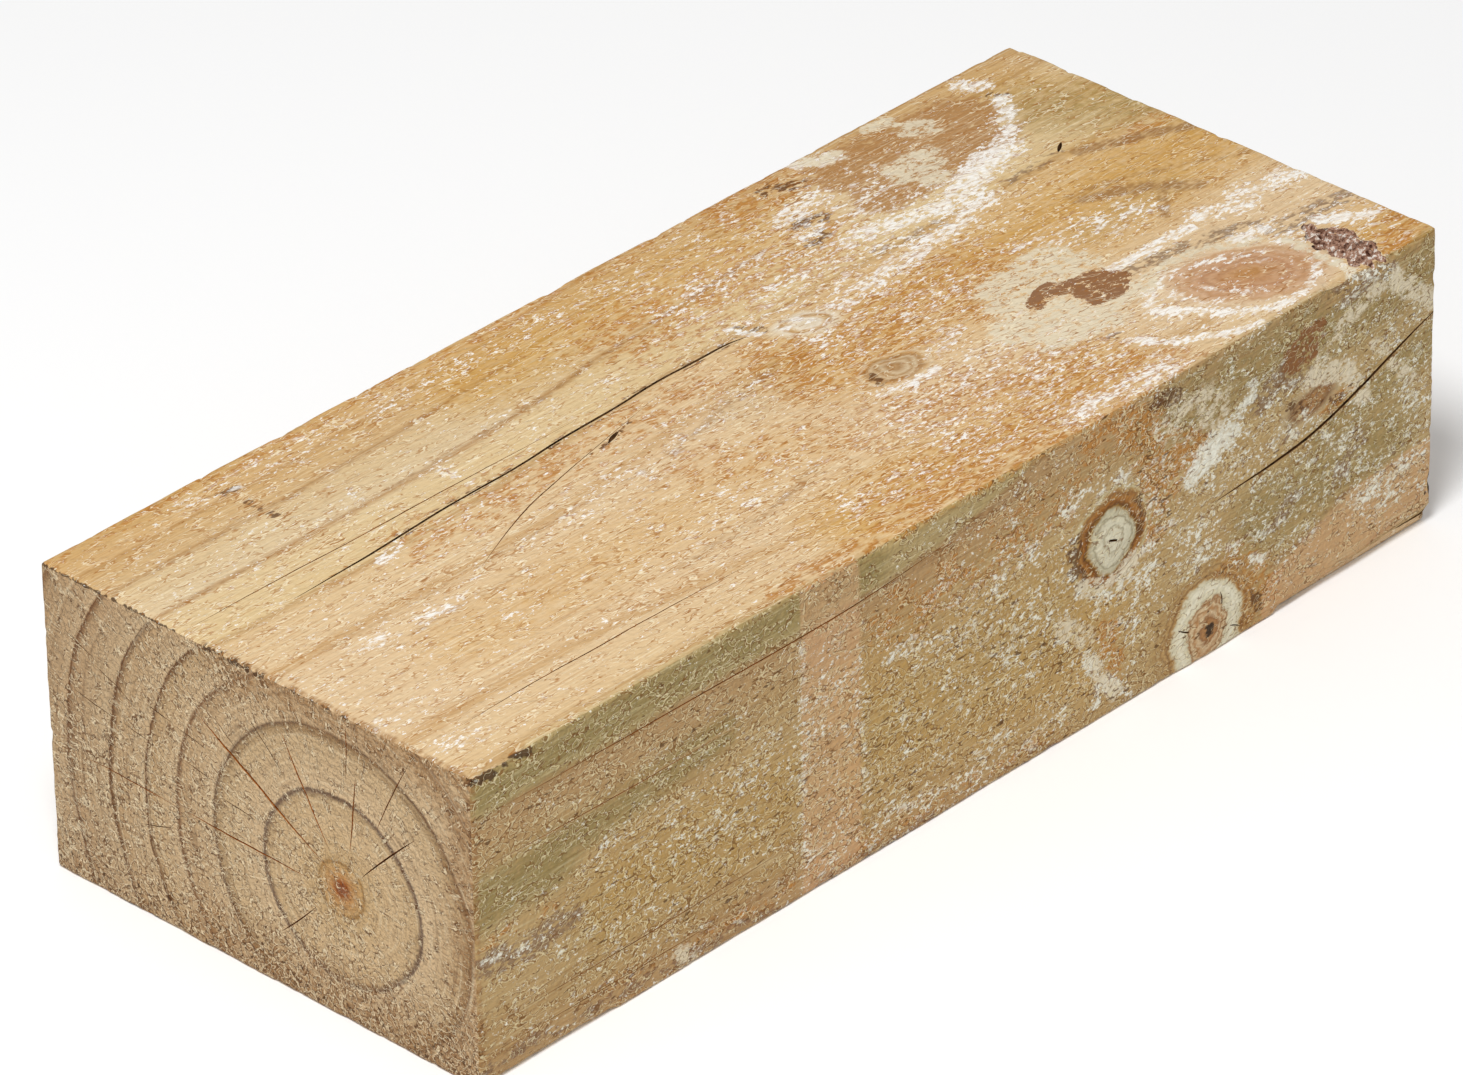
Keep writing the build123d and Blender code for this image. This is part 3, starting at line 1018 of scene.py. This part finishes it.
def softwood(name, look, colours):
    """Rough-sawn pine: matt, fibrous, with dark latewood lines, stains, white mould specks, painted shade
    and highlights.
    """
    material, tree, shader = matt(name, roughness=0.85, gloss=0.25)
    place = in_mm(tree, add(tree, "ShaderNodeTexCoord", out="Object"))
    radius, polar = about_pith(tree, place, look["swelling"])

    # Figures that the layers share
    rough = figure(tree, place, (9, 4.5, 4.5), 3.0, 0.65)
    fine = figure(tree, place, look["fine"], 1.0, 0.6)
    fibre = figure(tree, polar if look["rays"] else place, look["fibre"], 1.0)
    crooked = wander(tree, place, (3, 1.6, 1.6), (0.5, 0.35, 0.35))
    ragged = add(tree, "ShaderNodeMath", {0: fine, 1: 0.6, 2: rough}, operation="MULTIPLY_ADD")
    torn = painted(tree, "torn", rough, 0.8)
    mould = painted(tree, "mould", ragged, 0.2)

    # Growth rings, with rims that the sawn fibres leave uneven
    uneven = add(tree, "ShaderNodeMath", {0: ragged, 1: 0.4, 2: radius}, operation="MULTIPLY_ADD")
    share = add(tree, "ShaderNodeMath", {0: uneven, 1: FARTHEST_RING}, operation="DIVIDE")
    stops = [(ring / FARTHEST_RING, linear(tint)) for ring, tint in look["rings"]]
    colour = add(tree, "ShaderNodeValToRGB", {0: share}, stops=stops)

    # Marks that soaked in, long fibres and rays, and the short torn fibres that lie under the knots.
    # The rays and torn fibres are painted shade in their hollows, with a painted highlight beside each.
    colour = lay_marks(tree, colour, colours, look, ragged, SOAKED_MARKS)
    colour = lay(tree, colour, linear(look["shade_and_dark_grain"]), fibre, 0.1, 1.3, 0.4)
    colour = lay(tree, colour, linear(look["highlight_and_pale_grain"]), fibre, -0.1, -1.3, 0.4)
    if look["rays"]:
        colour = hairs(tree, colour, polar, rough, (0, look["rays"], 0.6), look)
    under, over = look["hairs"]
    colour = hairs(tree, colour, crooked, torn, under, look)

    # Knots are rings about their own middle, and their resin keeps some of the mould away
    sway = [0.0 if axis == look["axis"] else KNOT_SWAY for axis in "XYZ"]
    swayed = wander(tree, place, (14, 9, 9), sway)
    for middle, halves, degrees, tints in look["knots"]:
        turn = [math.radians(degrees) * (axis == look["axis"]) for axis in "XYZ"]
        local = add(tree, "ShaderNodeMapping",
                    {"Vector": swayed, "Location": middle, "Rotation": turn, "Scale": halves},
                    vector_type="TEXTURE")
        distance = add(tree, "ShaderNodeVectorMath", {0: local}, out="Value", operation="LENGTH")
        distance = add(tree, "ShaderNodeMath", {0: ragged, 1: 0.05, 2: distance}, operation="MULTIPLY_ADD")
        stops = [(part, linear(tint, cover)) for part, tint, cover in tints]
        ring = add(tree, "ShaderNodeValToRGB", {0: distance}, stops=stops)
        resinous = ring.node.outputs["Alpha"]
        colour = lay(tree, colour, ring, resinous, 0.0, 1.0, 0.95)
        mould = add(tree, "ShaderNodeMath", {0: resinous, 1: -0.5, 2: mould}, operation="MULTIPLY_ADD")

    # Stains, painted shade in the crevices and mould, then crusts that hide them, then the painted shade and
    # highlights of the fibres that were torn up last, and the dark flecks, which on the end are painted
    # shade in pits
    colour = lay_marks(tree, colour, colours, look, ragged, SURFACE_MARKS)
    if look["mould"]:
        haze = add(tree, "ShaderNodeMath", {0: ragged, 1: 0.7, 2: mould}, operation="MULTIPLY_ADD")
        colour = lay(tree, colour, linear(look["mould"]), haze, 0.75, 1.75, 0.75)
        value = growth(tree, place, look["growth"], mould)
        colour = lay(tree, colour, linear(look["mould"]), value, 1.0, 1.4, 0.9)
    crumbled = figure(tree, place, (5, 3.2, 3.2), 4.0, 0.75)
    colour = lay_marks(tree, colour, colours, look, crumbled, CRUST_MARKS)
    colour = hairs(tree, colour, crooked, torn, over, look)
    spacing, level = look["flecks"]
    value = painted(tree, "torn", figure(tree, crooked, spacing, 1.0), 1.0)
    colour = lay(tree, colour, linear(look["fleck_and_pit_shade"]), value, level, level + 0.15, 0.8)
    surface(tree, shader, colour, fine, look["bump"])
    return material


def dress(block, colours):
    """Give the wide faces, the sides and the ends their own finish, by the way that they face."""
    for name, look in (("sawn_pine_face", FACE_LOOK), ("sawn_pine_side", SIDE_LOOK),
                       ("sawn_pine_end_grain", END_LOOK)):
        block.data.materials.append(softwood(name, look, colours))
    for face in block.data.polygons:
        ways = [abs(part) for part in face.normal]
        face.material_index = 2 - ways.index(max(ways))


class SLEEPER_OT_timber(bpy.types.Operator):
    """Saw the block, paint its marks, raise its grain, open its checks and dress it"""

    bl_idname = "sleeper.timber"
    bl_label = "Sawn timber"

    def execute(self, context):
        sizes = context.scene.sleeper_sizes
        block = sawn_block(sizes)
        dress(block, context.scene.sleeper_colours)
        paint_marks(block, sizes)
        raise_grain(block)
        open_checks(block)
        select_only(block)
        bpy.ops.object.shade_smooth_by_angle(angle=math.radians(40))
        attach(block, "root")
        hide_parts("sleeper")
        return {"FINISHED"}


# The stage: the floor's size, the room's light, and the key light's place, size and power
FLOOR_SIZE = 24.0
ROOM_LIGHT = 0.475
KEY_PLACE = (-1.2, -0.6, 2.6)
KEY_SIZE = 0.9
KEY_POWER = 57.0

# The camera's place, from the photograph's vanishing lines, its lens and how far it sees
CAMERA_AZIMUTH = math.radians(-46.2)
CAMERA_ELEVATION = math.radians(31.26)
CAMERA_ROLL = math.radians(-1.0)
CAMERA_DISTANCE = 3.455
CAMERA_ASIDE = -0.0103
CAMERA_ABOVE = 0.0524
CAMERA_LENS = 246.07
CAMERA_REACH = 50.0


def camera():
    """A long lens at the photograph's viewing angle."""
    back = Vector((math.sin(CAMERA_AZIMUTH) * math.cos(CAMERA_ELEVATION),
                   -math.cos(CAMERA_AZIMUTH) * math.cos(CAMERA_ELEVATION),
                   math.sin(CAMERA_ELEVATION)))
    level = Vector((math.cos(CAMERA_AZIMUTH), math.sin(CAMERA_AZIMUTH), 0))
    upright = back.cross(level)
    right = level * math.cos(CAMERA_ROLL) + upright * math.sin(CAMERA_ROLL)
    up = upright * math.cos(CAMERA_ROLL) - level * math.sin(CAMERA_ROLL)
    seat = back * CAMERA_DISTANCE + right * CAMERA_ASIDE + up * CAMERA_ABOVE
    bpy.ops.object.camera_add()
    eye = bpy.context.object
    eye.name = "camera"
    eye.matrix_world = Matrix.Translation(seat) @ Matrix((right, up, back)).transposed().to_4x4()
    eye.data.lens = CAMERA_LENS
    eye.data.clip_end = CAMERA_REACH
    bpy.context.scene.camera = eye


class SLEEPER_OT_stage(bpy.types.Operator):
    """Lay a pale floor and set the soft light and the camera"""

    bl_idname = "sleeper.stage"
    bl_label = "Stage"

    def execute(self, context):
        bpy.ops.object.select_all(action="DESELECT")
        bpy.ops.mesh.primitive_plane_add(size=FLOOR_SIZE, location=(0, 0, LOW.z))
        floor = context.object
        floor.name = "floor"
        paper, _, shader = matt("matt_white_paper", roughness=0.9, gloss=0.1)
        shader.inputs["Base Color"].default_value = linear("FFFFFF")
        floor.data.materials.append(paper)
        room = bpy.data.worlds.new("soft_room")
        room.use_nodes = True
        glow = room.node_tree.nodes["Background"]
        glow.inputs["Color"].default_value = linear("FFFFFF")
        glow.inputs["Strength"].default_value = ROOM_LIGHT
        context.scene.world = room
        bpy.ops.object.light_add(type="AREA", location=KEY_PLACE)
        key = context.object
        key.name = "key_light"
        key.data.shape = "DISK"
        key.data.size = KEY_SIZE
        key.data.energy = KEY_POWER
        key.rotation_euler = (-key.location).to_track_quat("-Z", "Y").to_euler()
        context.scene.view_settings.view_transform = "Standard"
        camera()
        return {"FINISHED"}


class SLEEPER_PT_panel(bpy.types.Panel):
    """The sleeper's sizes, colours and steps"""

    bl_label = "Sleeper"
    bl_idname = "SLEEPER_PT_panel"
    bl_space_type = "VIEW_3D"
    bl_region_type = "UI"
    bl_category = "Sleeper"

    def draw(self, context):
        for settings in (context.scene.sleeper_sizes, context.scene.sleeper_colours):
            for name in settings.__annotations__:
                self.layout.prop(settings, name)
        self.layout.operator("sleeper.timber")
        self.layout.operator("sleeper.stage")


CLASSES = (SleeperSizes, SleeperColours, SLEEPER_OT_timber, SLEEPER_OT_stage, SLEEPER_PT_panel)


def register():
    for cls in CLASSES:
        bpy.utils.register_class(cls)
    bpy.types.Scene.sleeper_sizes = bpy.props.PointerProperty(type=SleeperSizes)
    bpy.types.Scene.sleeper_colours = bpy.props.PointerProperty(type=SleeperColours)


def unregister():
    del bpy.types.Scene.sleeper_colours
    del bpy.types.Scene.sleeper_sizes
    for cls in reversed(CLASSES):
        bpy.utils.unregister_class(cls)


def main():
    register()
    bpy.ops.sleeper.timber()
    bpy.ops.sleeper.stage()


if __name__ == "__main__":
    main()
